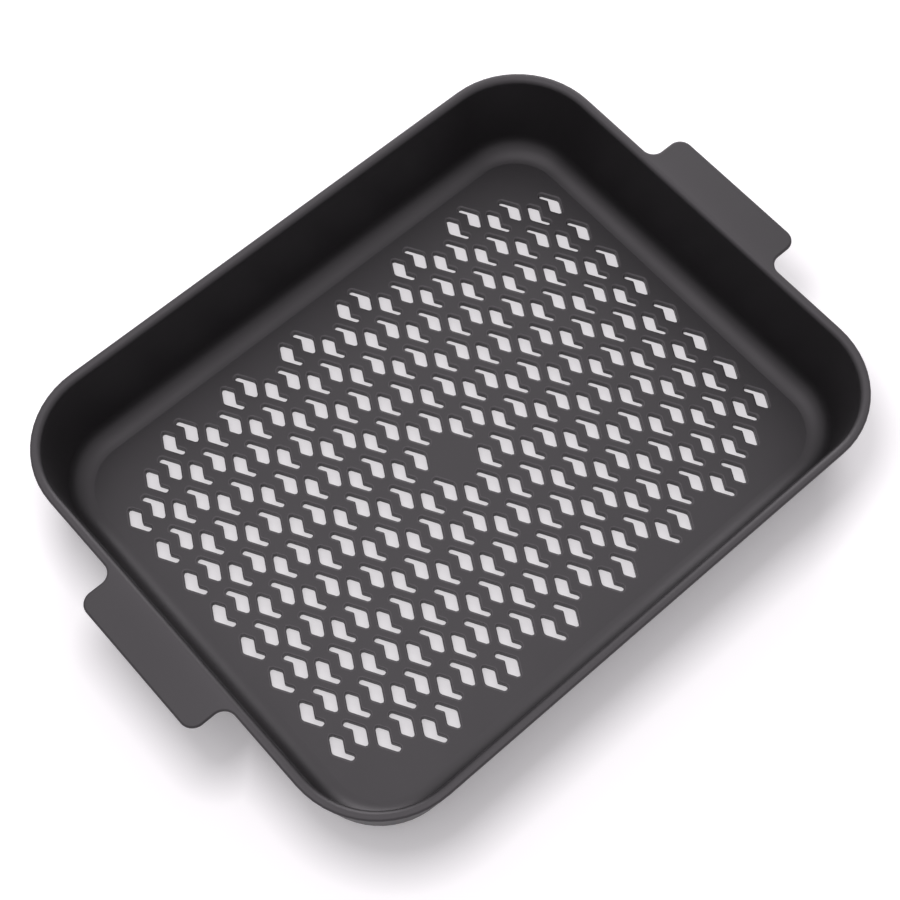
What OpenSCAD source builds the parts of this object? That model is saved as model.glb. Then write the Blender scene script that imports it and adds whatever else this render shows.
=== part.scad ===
// Perforated roasting pan in coated aluminium, cast in one piece.
// The floor carries a honeycomb of cells, and an S-shaped bar splits each cell into two holes.
// The origin is under the middle of the floor, X runs from handle to handle and Z is up.

/* [Pan] */
// Length of the rim, without the handles
rim_l = 375; // [330:1:460]
// Width of the rim
rim_w = 300; // [250:1:380]
// Height from the underside of the floor to the top of the rim
pan_h = 58.5; // [45:0.5:85]
// Corner radius of the rim, seen from above
corner_r = 52; // [46:1:66]
// Thickness of the floor
floor_t = 3.6; // [3:0.1:4.6]
// Thickness of the walls, the rim and the handles
wall_t = 2.5; // [2:0.1:3]
// How far the walls lean outwards, in degrees
draft = 8; // [4:0.5:10]
// Inside radius between the floor and the walls
floor_r = 13; // [9:0.5:16]
// Outside radius between the underside and the walls
foot_r = 16.5; // [12:0.5:18]
// Radius where the inside of the wall turns over into the rim
lip_r = 3.6; // [2:0.1:5]
// Width of the flat on top of the rim, between its two rounded edges
lip_flat = 1; // [0.8:0.1:4]

/* [Handles] */
// Width of a handle where it leaves the rim
handle_w = 88; // [64:1:120]
// How far a handle reaches beyond the rim
handle_l = 22; // [20:1:36]
// How much each side of a handle splays outwards, in degrees
handle_flare = 6.3; // [0:0.1:8]
// Radius of the outer corners of a handle
handle_r = 8.8; // [5:0.1:10]
// Radius of the hollow between a handle and the rim
neck_r = 7.5; // [4:0.1:8]

/* [Perforation] */
// Distance between neighbouring cells
pitch = 24; // [22:0.5:32]
// Width of the metal between neighbouring cells
web = 4.8; // [3.6:0.1:6.4]
// Width of the S-shaped bar that splits a cell
bar = 6; // [5:0.1:7]
// Width of the narrow tail of a hole
tail_w = 3.5; // [2.8:0.1:4]
// How far the tail runs past the corner of its cell
tail_over = 0.4; // [-0.6:0.1:0.6]
// Radius of the large corner of a hole
hole_r = 2.4; // [1:0.1:3]
// Radius of the other corners of the wide end of a hole
inner_r = 1.3; // [0.6:0.1:1.5]
// Least width of flat floor left plain around the outermost holes
floor_margin = 4.3; // [3.2:0.1:12]

/* [Hidden] */
$fn = 96;
over_cut = 1;
// How far neighbouring pieces of the casting run into each other
overlap = 2;
// How far the circle of a rounding runs past the sides that it joins, so that they cross cleanly
overrun = 0.002;

// The section of the wall, measured outwards from the middle of a rounded corner
edge_r = wall_t / 2;
lip_x = corner_r - edge_r - lip_flat;
lip_join_x = lip_x + lip_flat / 2;
under_rim_z = pan_h - wall_t;
lean = [cos(draft), -sin(draft)];
half_bend = tan((90 - draft) / 2);
inner_foot_x = lip_x - lip_r * half_bend - (pan_h - floor_t) * tan(draft);
outer_foot_x = inner_foot_x + wall_t / cos(draft) - floor_t * tan(draft);
floor_bend = [inner_foot_x - floor_r * half_bend, floor_t + floor_r];
foot_bend = [outer_foot_x - foot_r * half_bend, foot_r];
lip_bend = [lip_x, pan_h - lip_r];
under_rim_x = outer_foot_x + under_rim_z * tan(draft);
flat_r = floor_bend.x;
plate_r = min(flat_r, foot_bend.x) - overlap / 2;
ring_r = plate_r - overlap / 2;

// The middles of the rounded corners, seen from above
corner_x = rim_l / 2 - corner_r;
corner_y = rim_w / 2 - corner_r;

// A handle's outline: the middles of its neck and tip circles, and the direction square to its side
neck = [
    corner_r + neck_r,
    handle_w / 2 + neck_r * tan(handle_flare) + neck_r / cos(handle_flare)
];
tip = [
    corner_r + handle_l - handle_r,
    handle_w / 2 + (handle_l - handle_r) * tan(handle_flare) - handle_r / cos(handle_flare)
];
side_out = [-sin(handle_flare), cos(handle_flare)];

// One cell of the honeycomb, measured from its middle to its flats
cell_r = (pitch - web) / 2;
tail_in = cell_r - tail_w;
body_in = bar - tail_in;
tail_end = cell_r * tan(30) + tail_over;
column_gap = pitch * cos(30);
hole_reach = norm([cell_r, tail_end]);

// The point where two lines meet, each given by the angle of its normal and its distance from the middle
function crossing(a, d, b, e) = [d * sin(b) - e * sin(a), e * cos(a) - d * cos(b)] / sin(b - a);

// A hole's sides lie along the three directions of the honeycomb, and its points run clockwise
hole_points = [
    crossing(30, cell_r, -30, cell_r),
    crossing(-30, cell_r, 30, body_in),
    crossing(30, body_in, -30, bar / 2),
    crossing(-30, bar / 2, 30, tail_in),
    crossing(30, tail_in, 120, tail_end),
    crossing(30, cell_r, 120, tail_end)
];
hollow_r = 0.75 * inner_r;
tail_r = 0.41 * tail_w;
hole_radii = [hole_r, inner_r, inner_r, hollow_r, tail_r, tail_r];

// The circle of radius r that rounds the corner q between p and s: its middle, where it touches both sides,
// and whether the corner points outwards
function rounding(p, q, s, r) =
    let (
        u = (p - q) / norm(p - q),
        v = (s - q) / norm(s - q),
        half = acos(u * v) / 2
    )
    [
        q + (u + v) / norm(u + v) * r / sin(half),
        q + u * r / tan(half),
        q + v * r / tan(half),
        cross(q - p, s - q) < 0
    ];

// How far a point lies inside the edge of the flat floor
function depth_inside(x, y) =
    let (dx = abs(x) - corner_x, dy = abs(y) - corner_y)
    flat_r - norm([max(dx, 0), max(dy, 0)]) - min(max(dx, dy), 0);

// The middles of all cells that fit on the flat floor, where the one in the middle of the pan stays solid
function cells() =
    let (
        columns = floor((corner_x + flat_r) / column_gap),
        rows = floor((corner_y + flat_r) / pitch) + 1
    )
    [
        for (i = [-columns:columns])
            for (j = [-rows:rows])
                let (x = i * column_gap, y = (j + abs(i % 2) / 2) * pitch)
                if (depth_inside(x, y) >= hole_reach + floor_margin && norm([x, y]) > pitch / 2)
                    [x, y]
    ];

// A polygon with clockwise points, each corner rounded by its own radius
module rounded_polygon(points, radii) {
    n = len(points);
    arcs = [for (i = [0:n - 1]) rounding(points[(i + n - 1) % n], points[i], points[(i + 1) % n], radii[i])];
    difference() {
        union() {
            polygon([for (arc = arcs) each [arc[1], arc[2]]]);
            for (i = [0:n - 1])
                if (arcs[i][3])
                    translate(arcs[i][0])
                        circle(radii[i] + overrun);
        }
        for (i = [0:n - 1])
            if (!arcs[i][3])
                translate(arcs[i][0])
                    circle(radii[i] + overrun);
    }
}

// Everything under the outer surface of the pan, from the floor out to the middle of the rim
module outer_section() {
    polygon([
        [0, 0],
        [foot_bend.x, 0],
        foot_bend + foot_r * lean,
        [under_rim_x, under_rim_z],
        [lip_join_x, under_rim_z],
        [lip_join_x, pan_h],
        [0, pan_h]
    ]);
    translate(foot_bend)
        circle(foot_r + overrun);
}

// The room inside the pan
module inner_section() {
    difference() {
        union() {
            polygon([
                [-over_cut, floor_t],
                [flat_r, floor_t],
                floor_bend + floor_r * lean,
                lip_bend - lip_r * lean,
                [lip_x, pan_h],
                [lip_x, pan_h + over_cut],
                [-over_cut, pan_h + over_cut]
            ]);
            translate(floor_bend)
                circle(floor_r + overrun);
        }
        translate(lip_bend)
            circle(lip_r + overrun);
    }
}

// The metal itself: the edge of the floor, the bend, the leaning wall and the start of the rim
module wall_section() {
    intersection() {
        translate([ring_r, 0])
            square([corner_r - ring_r, pan_h]);
        difference() {
            outer_section();
            inner_section();
        }
    }
}

// The plain rim with its round edge
module rim_edge() {
    translate([lip_x, under_rim_z])
        square([lip_flat, wall_t]);
    translate([corner_r - edge_r, pan_h - edge_r])
        circle(edge_r);
}

module rim_section() {
    wall_section();
    rim_edge();
}

// A section drawn out along Y
module run(from, to) {
    translate([0, to, 0])
        rotate([90, 0, 0])
            linear_extrude(to - from)
                children();
}

module corners() {
    for (turn = [0, 180])
        rotate(turn) {
            translate([corner_x, corner_y, 0])
                rotate_extrude(angle = 90)
                    rim_section();
            translate([corner_x, -corner_y, 0])
                rotate(-90)
                    rotate_extrude(angle = 90)
                        rim_section();
        }
}

module long_sides() {
    for (turn = [90, 270])
        rotate(turn)
            translate([corner_y, 0, 0])
                run(-corner_x, corner_x)
                    rim_section();
}

// Half of a handle's outline, from the middle of the rim outwards
module half_handle() {
    polygon([
        [lip_join_x, 0],
        [lip_join_x, neck.y],
        neck,
        neck - neck_r * side_out,
        tip + handle_r * side_out,
        [tip.x + handle_r, tip.y],
        [tip.x + handle_r, 0]
    ]);
    translate(tip)
        circle(handle_r + overrun);
}

module handle_outline() {
    intersection() {
        translate([0, -neck.y])
            square([corner_r + handle_l, 2 * neck.y]);
        difference() {
            for (side = [0, 1])
                mirror([0, side])
                    half_handle();
            for (side = [-1, 1])
                translate([neck.x, side * neck.y])
                    circle(neck_r + overrun);
        }
    }
}

module handle_side() {
    translate([corner_x, 0, 0]) {
        run(-corner_y, corner_y)
            wall_section();
        for (side = [0, 1])
            mirror([0, side, 0])
                run(neck.y - overlap, corner_y)
                    rim_edge();
        translate([0, 0, under_rim_z])
            linear_extrude(wall_t)
                handle_outline();
    }
}

// The flat floor, less the holes
module floor_plate() {
    linear_extrude(floor_t)
        difference() {
            union() {
                square([2 * corner_x, 2 * (corner_y + plate_r)], center = true);
                square([2 * (corner_x + plate_r), 2 * corner_y], center = true);
                for (x = [-corner_x, corner_x])
                    for (y = [-corner_y, corner_y])
                        translate([x, y])
                            circle(plate_r);
            }
            for (place = cells())
                for (turn = [0, 180])
                    translate(place)
                        rotate(turn)
                            rounded_polygon(hole_points, hole_radii);
        }
}

module pan() {
    color([0.24, 0.24, 0.25]) {
        floor_plate();
        corners();
        long_sides();
        for (turn = [0, 180])
            rotate(turn)
                handle_side();
    }
}

pan();
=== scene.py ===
import math

import bmesh
import bpy
from bpy.props import FloatProperty, FloatVectorProperty, IntProperty, PointerProperty
from bpy.types import Operator, Panel, PropertyGroup
from mathutils import Matrix, Vector


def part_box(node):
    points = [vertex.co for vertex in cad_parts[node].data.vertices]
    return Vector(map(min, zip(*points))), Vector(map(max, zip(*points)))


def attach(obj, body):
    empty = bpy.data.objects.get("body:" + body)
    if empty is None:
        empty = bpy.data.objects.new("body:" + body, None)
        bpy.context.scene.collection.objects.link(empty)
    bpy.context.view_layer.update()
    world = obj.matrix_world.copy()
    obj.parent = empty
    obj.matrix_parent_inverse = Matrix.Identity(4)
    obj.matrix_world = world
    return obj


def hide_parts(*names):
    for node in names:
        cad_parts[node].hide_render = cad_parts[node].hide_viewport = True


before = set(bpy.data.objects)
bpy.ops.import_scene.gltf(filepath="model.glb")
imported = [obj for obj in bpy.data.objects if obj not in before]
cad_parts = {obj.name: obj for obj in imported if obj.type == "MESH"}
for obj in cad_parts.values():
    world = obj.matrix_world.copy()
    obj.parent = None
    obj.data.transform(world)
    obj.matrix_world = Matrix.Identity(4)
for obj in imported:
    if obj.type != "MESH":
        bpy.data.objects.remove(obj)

bl_info = {
    "name": "Perforated roasting pan",
    "version": (1, 0, 0),
    "blender": (4, 5, 0),
    "location": "3D View > Sidebar > Pan",
    "description": "A cast roasting pan with a perforated floor, and the studio it stands in",
    "category": "Object",
}

CAST_NODE = "pan"
CAST_LOW, CAST_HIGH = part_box(CAST_NODE)
HANDLE_REACH = 0.022
MILLIMETRE = 0.001
# Points that lie closer together than this are one point
MERGE_GAP = 0.01 * MILLIMETRE
# An edge stays sharp where its faces meet at more than this
REAL_EDGE = math.radians(50)
# A face is level where its normal's Z is at least this
LEVEL = 0.9999
WHITE = (1.0, 1.0, 1.0)


def length(name, description, default):
    return FloatProperty(name=name, description=description, default=default, precision=4,
                         unit="LENGTH", subtype="DISTANCE")


def angle(name, description, degrees):
    return FloatProperty(name=name, description=description, default=math.radians(degrees), subtype="ANGLE")


def colour(name, description, default):
    return FloatVectorProperty(name=name, description=description, default=default, subtype="COLOR",
                               min=0.0, max=1.0)


def factor(name, description, default, most=1.0):
    return FloatProperty(name=name, description=description, default=default, min=0.0, max=most,
                         subtype="FACTOR")


class PanSizes(PropertyGroup):
    """Sizes of the casting. Each one has the same name in the node tree that makes the pan."""

    rim_length: length("Rim Length", "Length of the rim, without the handles",
                       CAST_HIGH.x - CAST_LOW.x - 2 * HANDLE_REACH)
    rim_width: length("Rim Width", "Width of the rim", CAST_HIGH.y - CAST_LOW.y)
    height: length("Height", "From the underside of the floor to the top of the rim",
                   CAST_HIGH.z - CAST_LOW.z)
    corner_radius: length("Corner Radius", "Corner radius of the rim, seen from above", 0.052)
    floor_thickness: length("Floor Thickness", "Thickness of the floor", 0.0036)
    wall_thickness: length("Wall Thickness", "Thickness of the walls, the rim and the handles", 0.0025)
    draft: angle("Draft", "How far the walls lean outwards", 8)
    floor_radius: length("Floor Radius", "Inside radius between the floor and the walls", 0.013)
    foot_radius: length("Foot Radius", "Outside radius between the underside and the walls", 0.0165)
    lip_radius: length("Lip Radius", "Radius where the inside of the wall turns over into the rim", 0.0036)
    lip_flat: length("Lip Flat", "Width of the flat on top of the rim", 0.001)
    handle_width: length("Handle Width", "Width of a handle where it leaves the rim", 0.0905)
    handle_length: length("Handle Length", "How far a handle reaches beyond the rim", HANDLE_REACH)
    handle_flare: angle("Handle Flare", "How much each side of a handle splays outwards", 0)
    handle_radius: length("Handle Radius", "Radius of the outer corners of a handle", 0.0076)
    neck_radius: length("Neck Radius", "Radius of the hollow between a handle and the rim", 0.007)
    pitch: length("Pitch", "Distance between neighbouring cells", 0.024)
    web: length("Web", "Width of the metal between neighbouring cells", 0.0048)
    bar: length("Bar", "Width of the S-shaped bar that splits a cell", 0.006)
    tail_width: length("Tail Width", "Width of the narrow tail of a hole", 0.0035)
    tail_overrun: length("Tail Overrun", "How far the tail runs past the corner of its cell", 0.0004)
    hole_radius: length("Hole Radius", "Radius of the large corner of a hole", 0.0024)
    inner_radius: length("Inner Radius", "Radius of the other corners of the wide end of a hole", 0.0013)
    floor_margin: length("Floor Margin", "Least width of flat floor left plain around the outermost holes",
                         0.0043)
    soft_edge: length("Soft Edge", "Width of the soft upper edge of each hole", 0.0011)
    corner_steps: IntProperty(name="Corner Steps", description="Segments in each rounded corner of the rim",
                              default=14, min=3, max=40)
    section_steps: IntProperty(name="Section Steps", description="Segments in each bend of the section",
                               default=9, min=3, max=24)


class PanFinish(PropertyGroup):
    """Colours of the coating and of the studio."""

    coating: colour("Coating", "Base colour of the non-stick coating", (0.0084, 0.0075, 0.0084))
    coating_tint: colour("Coating Tint", "Tint of the sheen of the coating", (1.0, 0.935, 1.0))
    coating_sheen: factor("Coating Sheen", "Strength of the sheen of the coating", 0.495)
    coating_roughness: factor("Coating Roughness", "Mean roughness of the coating", 0.45)
    # Painted highlight: the coating's colour is made paler along the lip, where the rounded lip catches light
    painted_lip_highlight: factor("Painted Lip Highlight", "How much paler the coating is along the lip, in times its base colour",
                     1.3, 10.0)
    # Painted highlight: the colour is made paler on the first strip of each hole's soft edge, where the rounded
    # edge catches light
    painted_hole_highlight: factor("Painted Hole Highlight", "How much paler the edges of the holes are, in times the base colour",
                      3.5, 10.0)
    ground: colour("Ground", "Colour of the studio floor", (0.86, 0.832, 0.86))


class Value:
    """A socket of a node that Python expressions can work with."""

    def __init__(self, graph, socket):
        self.graph = graph
        self.socket = socket

    def __add__(self, other):
        return self.graph.maths("ADD", self, other)

    def __radd__(self, other):
        return self.graph.maths("ADD", other, self)

    def __sub__(self, other):
        return self.graph.maths("SUBTRACT", self, other)

    def __rsub__(self, other):
        return self.graph.maths("SUBTRACT", other, self)

    def __mul__(self, other):
        return self.graph.maths("MULTIPLY", self, other)

    def __rmul__(self, other):
        return self.graph.maths("MULTIPLY", other, self)

    def __truediv__(self, other):
        return self.graph.maths("DIVIDE", self, other)

    def __rtruediv__(self, other):
        return self.graph.maths("DIVIDE", other, self)

    def __neg__(self):
        return self.graph.maths("MULTIPLY", self, -1.0)

    def __mod__(self, other):
        return self.graph.maths("FLOORED_MODULO", self, other)

    def __lt__(self, other):
        return self.graph.maths("LESS_THAN", self, other)

    def __gt__(self, other):
        return self.graph.maths("GREATER_THAN", self, other)

    def __abs__(self):
        return self.graph.maths("ABSOLUTE", self)


class Graph:
    """Builds one node tree, of a material or of geometry."""

    def __init__(self, tree):
        self.tree = tree

    def node(self, kind, settings=None, sockets=None):
        """Adds a node: its settings first, then the values or links of its sockets."""
        made = self.tree.nodes.new(kind)
        for name, value in (settings or {}).items():
            setattr(made, name, value)
        for key, value in (sockets or {}).items():
            self.feed(made.inputs[key], value)
        return made

    def feed(self, socket, value):
        for item in value if isinstance(value, list) else [value]:
            if isinstance(item, Value):
                self.tree.links.new(item.socket, socket)
            else:
                socket.default_value = item

    def out(self, kind, settings=None, sockets=None, key=0):
        """Adds a node and gives one of its outputs."""
        return Value(self, self.node(kind, settings, sockets).outputs[key])

    def maths(self, operation, *values):
        return self.out("ShaderNodeMath", {"operation": operation}, dict(enumerate(values)))

    def smallest(self, first, second):
        return self.maths("MINIMUM", first, second)

    def largest(self, first, second):
        return self.maths("MAXIMUM", first, second)

    def both(self, first, second):
        return self.maths("MULTIPLY", first, second)

    def ramp(self, value):
        """The value, held between nought and one."""
        return self.smallest(self.largest(value, 0.0), 1.0)

    def away(self, x, y):
        """How far a point lies outside a corner, along either side or past both."""
        x, y = self.largest(x, 0.0), self.largest(y, 0.0)
        return self.maths("SQRT", x * x + y * y)

    def scaled(self, shade, tone):
        """A fixed colour, made paler or darker by a value."""
        return self.out("ShaderNodeVectorMath", {"operation": "SCALE"}, {0: tuple(shade), "Scale": tone})

    def xyz(self, x, y, z):
        return self.out("ShaderNodeCombineXYZ", None, {0: x, 1: y, 2: z})

    def parts(self, vector):
        split = self.node("ShaderNodeSeparateXYZ", None, {0: vector})
        return [Value(self, socket) for socket in split.outputs]


class GeometryGraph(Graph):
    """A geometry tree with named inputs."""

    def __init__(self, name, sizes, finish):
        super().__init__(bpy.data.node_groups.new(name, "GeometryNodeTree"))
        for key, kind in sizes.items():
            self.tree.interface.new_socket(key, in_out="INPUT", socket_type=kind)
        self.tree.interface.new_socket(finish, in_out="INPUT", socket_type="NodeSocketMaterial")
        self.tree.interface.new_socket("Geometry", in_out="OUTPUT", socket_type="NodeSocketGeometry")
        self.given = self.node("NodeGroupInput")

    def size(self, name):
        return Value(self, self.given.outputs[name])

    def chosen(self, data_type, items):
        """The item with the number of the point being worked on."""
        switch = self.node("GeometryNodeIndexSwitch", {"data_type": data_type},
                           {"Index": self.out("GeometryNodeInputIndex")})
        while len(switch.index_switch_items) < len(items):
            switch.index_switch_items.new()
        for number, item in enumerate(items):
            self.feed(switch.inputs[number + 1], item)
        return Value(self, switch.outputs[0])

    def line(self, corners):
        """An open line through corners, given as pairs."""
        line = self.out("GeometryNodeMeshLine", None, {"Count": len(corners)})
        points = self.chosen("VECTOR", [self.xyz(x, y, 0.0) for x, y in corners])
        line = self.out("GeometryNodeSetPosition", None, {"Geometry": line, "Position": points})
        return self.out("GeometryNodeMeshToCurve", None, {"Mesh": line})

    def outline(self, corners, radii, steps, closed):
        """A line through corners, each rounded by its own radius."""
        curve = self.out("GeometryNodeSetSplineCyclic", None, {
            "Geometry": self.line(corners),
            "Cyclic": closed,
        })
        return self.out("GeometryNodeFilletCurve", {"mode": "POLY"}, {
            "Curve": curve,
            "Count": steps,
            "Radius": self.chosen("FLOAT", radii),
        })

    def sweep(self, path, section):
        """Draws a section along a path: its X goes outwards and its Y down."""
        path = self.out("GeometryNodeSetCurveNormal", {"mode": "Z_UP"}, {"Curve": path})
        return self.out("GeometryNodeCurveToMesh", None, {"Curve": path, "Profile Curve": section})

    def moved(self, geometry, offset):
        return self.out("GeometryNodeSetPosition", None, {"Geometry": geometry, "Offset": offset})

    def joined(self, pieces):
        return self.out("GeometryNodeJoinGeometry", None, {"Geometry": pieces})

    def flat_between(self, mesh, level):
        """A flat face at one height, between all open edges that the mesh has there."""
        faces = self.out("GeometryNodeInputMeshEdgeNeighbors")
        height = self.parts(self.out("GeometryNodeInputPosition"))[2]
        open_here = self.both(faces < 1.5, abs(height - level) < MERGE_GAP)
        rim = self.out("GeometryNodeMeshToCurve", None, {"Mesh": mesh, "Selection": open_here})
        face = self.out("GeometryNodeFillCurve", {"mode": "TRIANGLES"}, {"Curve": rim})
        return self.moved(face, self.xyz(0.0, 0.0, level))


def crossing(first, second):
    """Where two lines meet, each given by its normal's angle in degrees and its distance from the middle."""
    (a, d), (b, e) = first, second
    a, b = math.radians(a), math.radians(b)
    turn = math.sin(b - a)
    return (d * (math.sin(b) / turn) - e * (math.sin(a) / turn),
            e * (math.cos(a) / turn) - d * (math.cos(b) / turn))


# Radius of the hollow where the wall meets the underside of the rim
RIM_HOLLOW = 0.5 * MILLIMETRE
# Each drawn section ends in a strip of flat metal: on the floor and the underside, on the lip, and under the rim
FLOOR_STRIP, LIP_STRIP, RIM_STRIP = 1.0 * MILLIMETRE, 0.2 * MILLIMETRE, 1.3 * RIM_HOLLOW


def section_lines(graph):
    """The inside, the outer edge and the outside of the wall, as open lines to be drawn round the pan."""
    size = graph.size
    floor, wall, height = size("Floor Thickness"), size("Wall Thickness"), size("Height")
    floor_radius, foot_radius, lip_radius = size("Floor Radius"), size("Foot Radius"), size("Lip Radius")
    draft = size("Draft")
    lean, upright = graph.maths("TANGENT", draft), graph.maths("COSINE", draft)
    half_bend = graph.maths("TANGENT", (math.radians(90) - draft) / 2)
    edge = wall / 2
    lip_start = -edge - size("Lip Flat")
    lip_corner = lip_start - lip_radius * half_bend
    inner_foot = lip_corner - (height - floor) * lean
    outer_foot = inner_foot + wall / upright - floor * lean
    outer_top = outer_foot + (height - wall) * lean
    flat_edge = inner_foot - floor_radius * half_bend
    edge_start = -edge - LIP_STRIP
    steps = size("Section Steps")
    inside = graph.outline(
        [(flat_edge - FLOOR_STRIP, -floor), (inner_foot, -floor), (lip_corner, -height),
         (lip_start + LIP_STRIP, -height)],
        [0.0, floor_radius, lip_radius, 0.0], steps, False)
    edge_line = graph.outline(
        [(edge_start, -height), (0.0, -height), (0.0, wall - height), (edge_start, wall - height)],
        [0.0, edge, edge, 0.0], steps, False)
    outside = graph.outline(
        [(outer_top + RIM_STRIP, wall - height), (outer_top, wall - height), (outer_foot, 0.0),
         (outer_foot - foot_radius * half_bend - FLOOR_STRIP, 0.0)],
        [0.0, RIM_HOLLOW, foot_radius, 0.0], steps, False)
    return inside, edge_line, outside, flat_edge


def rim_paths(graph):
    """The outline of the plain rim, and the one that also runs round the handles."""
    size = graph.size
    x, y = size("Rim Length") / 2, size("Rim Width") / 2
    reach, half = size("Handle Length"), size("Handle Width") / 2
    wide = half + reach * graph.maths("TANGENT", size("Handle Flare"))
    corner, neck, tip = size("Corner Radius"), size("Neck Radius"), size("Handle Radius")
    side = [((x, -y), corner), ((x, -half), neck), ((x + reach, -wide), tip),
            ((x + reach, wide), tip), ((x, half), neck), ((x, y), corner)]
    both_ends = side + [((-place[0], -place[1]), radius) for place, radius in side]
    plain = [place for place, radius in both_ends if radius is corner]
    steps = size("Corner Steps")
    rim = graph.outline(plain, [corner] * 4, steps, True)
    places, radii = zip(*both_ends)
    handles = graph.outline(places, radii, steps, True)
    return rim, handles


# The rounding of a hole's tail, in times the tail's width, and of its hollow corner, in times the inner radius
TAIL_ROUNDING, HOLLOW_ROUNDING = 0.41, 0.75
# Segments at each corner of a hole, with the large corner first
HOLE_STEPS = (3, 2, 2, 2, 2, 2)
# The soft edge of a hole has two strips: the place and depth at which they meet, and the depth of the whole edge,
# in times its width
STRIP_PLACE, STRIP_DEPTH, SOFT_DEPTH = 0.45, 0.05, 0.25


def hole_reach(graph):
    """How far the tail of a hole ends from the cell's middle: across the cell, and along its side."""
    cell = (graph.size("Pitch") - graph.size("Web")) / 2
    return cell, cell * math.tan(math.radians(30)) + graph.size("Tail Overrun")


def hole_wall(graph):
    """The wall of one hole, with a soft upper edge."""
    size = graph.size
    cell, tail_end = hole_reach(graph)
    bar, tail_width = size("Bar"), size("Tail Width")
    tail_inside = cell - tail_width
    sides = [(30, cell), (-30, cell), (30, bar - tail_inside), (-30, bar / 2), (30, tail_inside),
             (120, tail_end)]
    corners = [crossing(side, after) for side, after in zip(sides, sides[1:] + sides[:1])]
    inner, tail = size("Inner Radius"), tail_width * TAIL_ROUNDING
    radii = [size("Hole Radius"), inner, inner, inner * HOLLOW_ROUNDING, tail, tail]
    path = graph.outline(corners, radii, graph.chosen("INT", HOLE_STEPS), True)
    path = graph.out("GeometryNodeReverseCurve", None, {"Curve": path})
    soft, floor = size("Soft Edge"), size("Floor Thickness")
    section = graph.line([(soft, -floor), (soft * STRIP_PLACE, soft * STRIP_DEPTH - floor),
                          (0.0, soft * SOFT_DEPTH - floor), (0.0, 0.0)])
    return graph.sweep(path, section)


def perforation(graph, flat_edge):
    """Two holes in each cell of a honeycomb, on all of the flat floor but its middle."""
    size = graph.size
    pitch = size("Pitch")
    column_gap = pitch * math.cos(math.radians(30))
    x_middle = size("Rim Length") / 2 - size("Corner Radius")
    y_middle = size("Rim Width") / 2 - size("Corner Radius")
    flat = size("Corner Radius") + flat_edge
    columns = graph.maths("FLOOR", (x_middle + flat) / column_gap)
    rows = graph.maths("FLOOR", (y_middle + flat) / pitch) + 1
    number = graph.out("GeometryNodeInputIndex")
    column = graph.maths("FLOOR", number / (2 * rows + 1)) - columns
    row = number % (2 * rows + 1) - rows
    x = column * column_gap
    y = (row + abs(column) % 2 / 2) * pitch
    beside, beyond = abs(x) - x_middle, abs(y) - y_middle
    depth = flat - graph.away(beside, beyond) - graph.smallest(graph.largest(beside, beyond), 0.0)
    across, along = hole_reach(graph)
    reach = graph.maths("SQRT", across * across + along * along)
    fits = depth > reach + size("Floor Margin")
    off_middle = x * x + y * y > pitch * pitch / 4
    cells = graph.out("GeometryNodePoints", None, {
        "Count": (2 * columns + 1) * (2 * rows + 1),
        "Position": graph.xyz(x, y, 0.0),
    })
    hole = hole_wall(graph)
    turned = graph.out("GeometryNodeTransform", None, {"Geometry": hole, "Rotation": (0.0, 0.0, math.pi)})
    return graph.out("GeometryNodeInstanceOnPoints", None, {
        "Points": cells,
        "Selection": graph.both(fits, off_middle),
        "Instance": graph.joined([hole, turned]),
    })


SOCKET_KINDS = {"FLOAT": "NodeSocketFloat", "INT": "NodeSocketInt"}


def size_sockets(sizes):
    """The name and kind of each of the pan's sizes."""
    return {p.name: SOCKET_KINDS[p.type] for p in sizes.bl_rna.properties if p.type in SOCKET_KINDS}


def pan_tree(sizes):
    graph = GeometryGraph("Pan casting", size_sockets(sizes), "Coating")
    inside, edge_line, outside, flat_edge = section_lines(graph)
    rim, handles = rim_paths(graph)
    holes = graph.out("GeometryNodeRealizeInstances", None, {"Geometry": perforation(graph, flat_edge)})
    walls = graph.joined([
        graph.sweep(rim, inside),
        graph.sweep(rim, outside),
        graph.sweep(handles, edge_line),
        holes,
    ])
    height = graph.size("Height")
    levels = [height, height - graph.size("Wall Thickness"), graph.size("Floor Thickness"), 0.0]
    casting = graph.joined([walls] + [graph.flat_between(walls, level) for level in levels])
    casting = graph.out("GeometryNodeMergeByDistance", None, {"Geometry": casting, "Distance": MERGE_GAP})
    casting = graph.out("GeometryNodeRealizeInstances", None, {"Geometry": casting})
    casting = graph.out("GeometryNodeSetMaterial", None, {
        "Geometry": casting,
        "Material": graph.size("Coating"),
    })
    graph.node("NodeGroupOutput", None, {0: casting})
    return graph.tree


def plain_mesh(name, tree, sizes, finish):
    """Runs a geometry tree with the given sizes and keeps its result as a plain mesh."""
    shell = bpy.data.objects.new(name, bpy.data.meshes.new(name))
    bpy.context.scene.collection.objects.link(shell)
    modifier = shell.modifiers.new(name, "NODES")
    modifier.node_group = tree
    values = {p.name: getattr(sizes, p.identifier) for p in sizes.bl_rna.properties
              if p.type in SOCKET_KINDS}
    for item in tree.interface.items_tree:
        if item.in_out == "INPUT":
            modifier[item.identifier] = values.get(item.name, finish)
    made = shell.evaluated_get(bpy.context.evaluated_depsgraph_get())
    mesh = bpy.data.meshes.new_from_object(made)
    shell.modifiers.clear()
    shell.data = mesh
    return shell


def tidy_mesh(piece):
    """Merges doubles, turns all faces outwards and smooths all but the level faces and the real edges."""
    work = bmesh.new()
    work.from_mesh(piece.data)
    bmesh.ops.remove_doubles(work, verts=work.verts, dist=MERGE_GAP)
    bmesh.ops.recalc_face_normals(work, faces=work.faces)
    loose = [edge for edge in work.edges if not edge.is_manifold]
    for face in work.faces:
        face.smooth = abs(face.normal.z) < LEVEL
    for edge in work.edges:
        edge.smooth = edge.calc_face_angle(0.0) < REAL_EDGE
    work.to_mesh(piece.data)
    work.free()
    if loose:
        raise RuntimeError(f"{piece.name} has {len(loose)} open edges")


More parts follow.
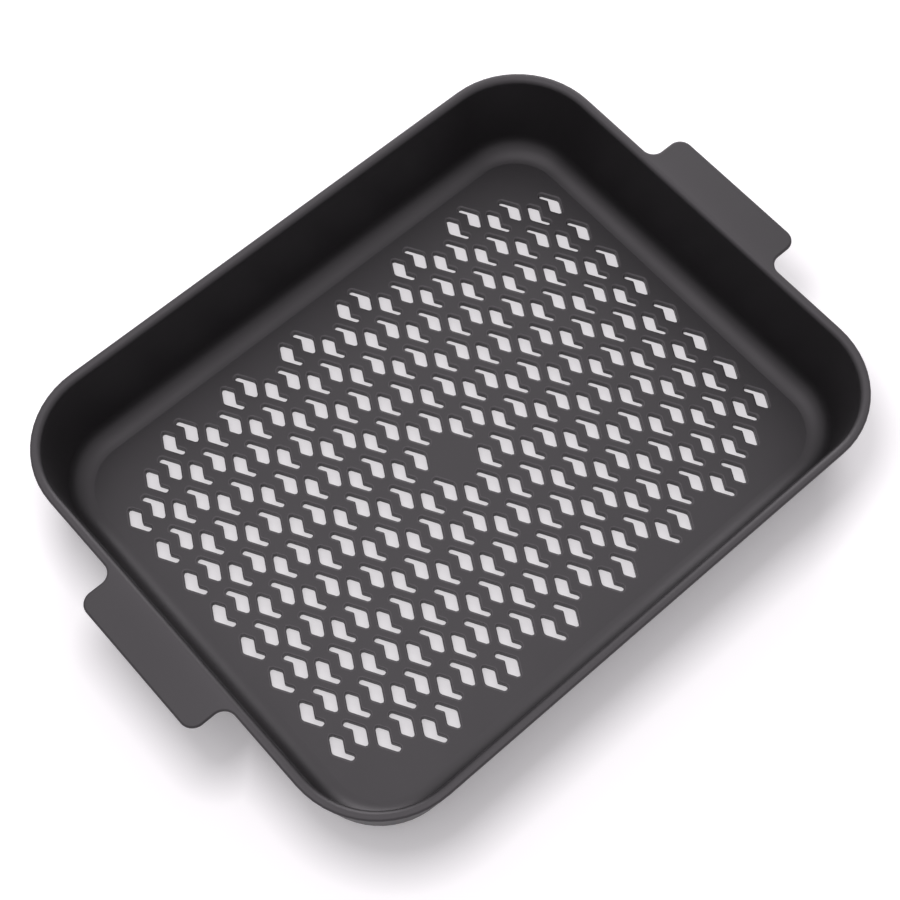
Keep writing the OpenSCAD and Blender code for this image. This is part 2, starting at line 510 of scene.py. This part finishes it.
# The coating's slow clouds: their scale, and how much they change its shade and its roughness
CLOUD_SCALE, CLOUD_SHADE, CLOUD_GLOSS = 28.0, 0.2, 0.1
# The coating's grain: its scale, how much it changes the roughness, and the strength and depth of its bumps
GRAIN_SCALE, GRAIN_GLOSS, GRAIN_BUMP, GRAIN_DEPTH = 2600.0, 0.05, 0.25, 0.08 * MILLIMETRE
# How far the painted highlight along the lip fades, and how far inside the lip the floor with its holes ends
LIP_FADE, HOLES_INSIDE_LIP = 6 * MILLIMETRE, 18 * MILLIMETRE


def fresh_graph(owner):
    """The emptied node tree of a material or a world."""
    owner.use_nodes = True
    owner.node_tree.nodes.clear()
    return Graph(owner.node_tree)


def corner_middle(sizes):
    """The middle of the rim's rounded corner, seen from above."""
    return sizes.rim_length / 2 - sizes.corner_radius, sizes.rim_width / 2 - sizes.corner_radius


def coating_material(sizes, finish):
    """Dark coating with a fine grain, slow changes of gloss, and painted highlights, paler colour, on the lip and
    the holes' edges.
    """
    material = bpy.data.materials.new("Non-stick coating")
    graph = fresh_graph(material)
    place = graph.out("ShaderNodeTexCoord", key="Object")
    x, y, z = graph.parts(place)
    x_middle, y_middle = corner_middle(sizes)
    from_middle = graph.away(abs(x) - x_middle, abs(y) - y_middle)
    lip = sizes.corner_radius - sizes.wall_thickness / 2 - sizes.lip_flat
    raised = graph.ramp((z - sizes.height + 2 * MILLIMETRE) / MILLIMETRE)
    # Painted highlight: a paler band along the lip, fading away from it
    painted_lip_highlight = raised * graph.maths("EXPONENT", abs(from_middle - lip) / -LIP_FADE)
    # Nought at the top of a hole's soft edge and one where its first strip ends
    sunk = (sizes.floor_thickness - z) / (STRIP_DEPTH * sizes.soft_edge)
    on_floor = from_middle < lip - HOLES_INSIDE_LIP
    # Painted highlight: the first strip of each hole's soft edge is made paler
    on_strip = graph.both(graph.both(sunk > 0.02, sunk < 1.05), on_floor)
    cloud = graph.out("ShaderNodeTexNoise", None, {"Vector": place, "Scale": CLOUD_SCALE, "Detail": 3.0})
    grain = graph.out("ShaderNodeTexNoise", None, {"Vector": place, "Scale": GRAIN_SCALE, "Detail": 2.0})
    cloud, grain = cloud - 0.5, grain - 0.5
    # Random clouds change the tone; the lip and hole terms paint highlights into the colour
    tone = 1 + CLOUD_SHADE * cloud + finish.painted_lip_highlight * painted_lip_highlight + finish.painted_hole_highlight * on_strip
    bump = graph.out("ShaderNodeBump", None, {
        "Strength": GRAIN_BUMP,
        "Distance": GRAIN_DEPTH,
        "Height": grain,
    })
    coat = graph.out("ShaderNodeBsdfPrincipled", None, {
        "Base Color": graph.scaled(finish.coating, tone),
        "Roughness": finish.coating_roughness + CLOUD_GLOSS * cloud + GRAIN_GLOSS * grain,
        "Specular IOR Level": finish.coating_sheen,
        "Specular Tint": (*finish.coating_tint, 1.0),
        "Normal": bump,
    })
    graph.node("ShaderNodeOutputMaterial", None, {"Surface": coat})
    return material


def seen(graph):
    """One for a ray from the camera, a gloss or a glass, and nought for the light that falls on things."""
    path = graph.node("ShaderNodeLightPath")
    camera, gloss, glass = [Value(graph, path.outputs[f"Is {ray} Ray"])
                            for ray in ("Camera", "Glossy", "Transmission")]
    return graph.smallest(camera + gloss + glass, 1.0)


# How strongly the studio floor glows right beside the pan, and what is added clear of it, far off and beneath it.
# The glow added clear of the pan paints the fading edge of its shadow, and the glow beneath paints even light on
# the floor seen through the holes
GLOW_BESIDE, GLOW_CLEAR, GLOW_FAR, GLOW_BENEATH = 0.25, 0.38, 0.6, 0.29
# Painted shade: how much darker the floor's colour is made beneath the pan, where the camera sees it through the
# holes, with painted glow making up the rest
SHADE_BENEATH = 0.5
# The patch of painted light and shade beneath the pan: how far inside the rim it starts, and over what width it
# fades in
BENEATH_INSIDE, BENEATH_FADE = 22 * MILLIMETRE, 6 * MILLIMETRE
# The painted shadow beside the pan, where the glow is least, lies away from the lamps: its shift in X and Y, its
# extra reach in X, and its fade
BESIDE_SHIFT_X, BESIDE_SHIFT_Y = 10 * MILLIMETRE, -4 * MILLIMETRE
BESIDE_REACH, BESIDE_FADE = 4 * MILLIMETRE, 24 * MILLIMETRE
# How far from the pan the glow of the far floor starts
FAR_START = 0.8
# How much light the white world throws on things, where 1 is white
WORLD_LIGHT = 0.15


def ground_material(sizes, finish):
    """Pale studio floor that keeps the pan's shadow and shows near white to the camera, with a painted shadow in
    its glow beside the pan and painted light and shade beneath it.
    """
    material = bpy.data.materials.new("Studio floor")
    graph = fresh_graph(material)
    x, y, z = graph.parts(graph.out("ShaderNodeTexCoord", key="Object"))
    corner, handle = sizes.corner_radius, sizes.handle_radius
    x_middle, y_middle = corner_middle(sizes)
    x_handle = sizes.rim_length / 2 + sizes.handle_length - handle
    y_handle = sizes.handle_width / 2 - handle
    inside_rim = corner - graph.away(abs(x) - x_middle, abs(y) - y_middle)
    # Painted light and shade beneath the pan, where the camera sees the floor through the holes
    beneath = graph.ramp((inside_rim - BENEATH_INSIDE) / BENEATH_FADE)
    far = graph.ramp(graph.maths("SQRT", x * x + y * y) - FAR_START)
    x, y = x - BESIDE_SHIFT_X, y - BESIDE_SHIFT_Y
    beside_rim = graph.away(abs(x) - x_middle - BESIDE_REACH, abs(y) - y_middle) - corner
    beside_handle = graph.away(abs(x) - x_handle - BESIDE_REACH, abs(y) - y_handle) - handle
    # Painted shadow: the glow rises from beside the pan to clear of it, shifted away from the lamps
    clear = graph.ramp(graph.smallest(beside_rim, beside_handle) / BESIDE_FADE)
    glow = GLOW_BESIDE + GLOW_CLEAR * clear + GLOW_FAR * far + GLOW_BENEATH * beneath
    matt = graph.out("ShaderNodeBsdfDiffuse", None, {
        # Painted shade: the floor's colour is darker beneath the pan
        "Color": graph.scaled(finish.ground, 1 - SHADE_BENEATH * beneath),
    })
    light = graph.out("ShaderNodeEmission", None, {"Color": graph.scaled(finish.ground, seen(graph) * glow)})
    surface = graph.out("ShaderNodeAddShader", None, {0: matt, 1: light})
    graph.node("ShaderNodeOutputMaterial", None, {"Surface": surface})
    return material


def studio_world():
    """White all round, with little light of its own."""
    world = bpy.data.worlds.new("Studio")
    graph = fresh_graph(world)
    white = graph.scaled(WHITE, WORLD_LIGHT + (1 - WORLD_LIGHT) * seen(graph))
    sky = graph.out("ShaderNodeBackground", None, {"Color": white})
    graph.node("ShaderNodeOutputWorld", None, {"Surface": sky})
    return world


# Each lamp's name, place, width and power
LAMPS = (
    ("Ceiling", (0.0, 0.0, 2.4), 5.0, 29.0),
    ("Overhead", (-0.30, 0.20, 1.9), 1.8, 12.8),
    ("Far side", (1.5, 1.5, 0.9), 1.4, 30.0),
)
# The camera at the photograph's place: where it stands, what it looks at, its roll and its lens
CAMERA_PLACE = Vector((-0.2975, -0.3268, 0.9480))
CAMERA_TARGET = Vector((0.0016, 0.0044, 0.0037))
CAMERA_ROLL = math.radians(0.65)
CAMERA_LENS, SENSOR_WIDTH = 76.5, 36.0
# The studio floor: its width, and how far below the pan it lies, so that the two never share a surface
GROUND_WIDTH, GROUND_GAP = 12.0, 0.1 * MILLIMETRE


def square_lamp(name, place, width, power):
    """A square lamp that faces the middle of the pan."""
    lamp = bpy.data.lights.new(name, "AREA")
    lamp.shape = "SQUARE"
    lamp.size = width
    lamp.energy = power
    holder = bpy.data.objects.new(name, lamp)
    holder.location = place
    holder.rotation_euler = (-Vector(place)).to_track_quat("-Z", "Y").to_euler()
    bpy.context.scene.collection.objects.link(holder)


def studio_camera():
    camera = bpy.data.objects.new("Camera", bpy.data.cameras.new("Camera"))
    camera.data.lens = CAMERA_LENS
    camera.data.sensor_width = SENSOR_WIDTH
    aim = (CAMERA_TARGET - CAMERA_PLACE).to_track_quat("-Z", "Y").to_matrix().to_4x4()
    camera.matrix_world = Matrix.Translation(CAMERA_PLACE) @ aim @ Matrix.Rotation(CAMERA_ROLL, 4, "Z")
    bpy.context.scene.collection.objects.link(camera)
    bpy.context.scene.camera = camera


class PAN_OT_casting(Operator):
    """Make the pan: one casting with its walls, rim, handles and perforated floor"""

    bl_idname = "pan.casting"
    bl_label = "Pan casting"

    def execute(self, context):
        sizes, finish = context.scene.pan_sizes, context.scene.pan_finish
        piece = plain_mesh("pan_casting", pan_tree(sizes), sizes, coating_material(sizes, finish))
        tidy_mesh(piece)
        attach(piece, "root")
        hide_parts(CAST_NODE)
        return {"FINISHED"}


class PAN_OT_stage(Operator):
    """Make the studio: floor, lights, world and camera"""

    bl_idname = "pan.stage"
    bl_label = "Studio"

    def execute(self, context):
        bpy.ops.mesh.primitive_plane_add(size=GROUND_WIDTH, location=(0.0, 0.0, -GROUND_GAP))
        ground = context.object
        ground.name = "studio_floor"
        ground.data.materials.append(ground_material(context.scene.pan_sizes, context.scene.pan_finish))
        for name, place, width, power in LAMPS:
            square_lamp(name, place, width, power)
        context.scene.world = studio_world()
        context.scene.view_settings.view_transform = "Standard"
        studio_camera()
        return {"FINISHED"}


class PAN_PT_sidebar(Panel):
    """Lists the pan's sizes and what makes its pieces"""

    bl_label = "Roasting pan"
    bl_idname = "PAN_PT_sidebar"
    bl_space_type = "VIEW_3D"
    bl_region_type = "UI"
    bl_category = "Pan"

    def draw(self, context):
        for group in (context.scene.pan_sizes, context.scene.pan_finish):
            box = self.layout.box()
            for prop in group.bl_rna.properties:
                if prop.identifier not in ("rna_type", "name"):
                    box.prop(group, prop.identifier)
        for operator in OPERATORS:
            self.layout.operator(operator.bl_idname)


OPERATORS = (PAN_OT_casting, PAN_OT_stage)
CLASSES = (PanSizes, PanFinish, *OPERATORS, PAN_PT_sidebar)


def register():
    for each in CLASSES:
        bpy.utils.register_class(each)
    bpy.types.Scene.pan_sizes = PointerProperty(type=PanSizes)
    bpy.types.Scene.pan_finish = PointerProperty(type=PanFinish)


def unregister():
    del bpy.types.Scene.pan_finish
    del bpy.types.Scene.pan_sizes
    for each in reversed(CLASSES):
        bpy.utils.unregister_class(each)


def main():
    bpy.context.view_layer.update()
    register()
    bpy.ops.pan.casting()
    bpy.ops.pan.stage()
    bpy.context.view_layer.update()


if __name__ == "__main__":
    main()
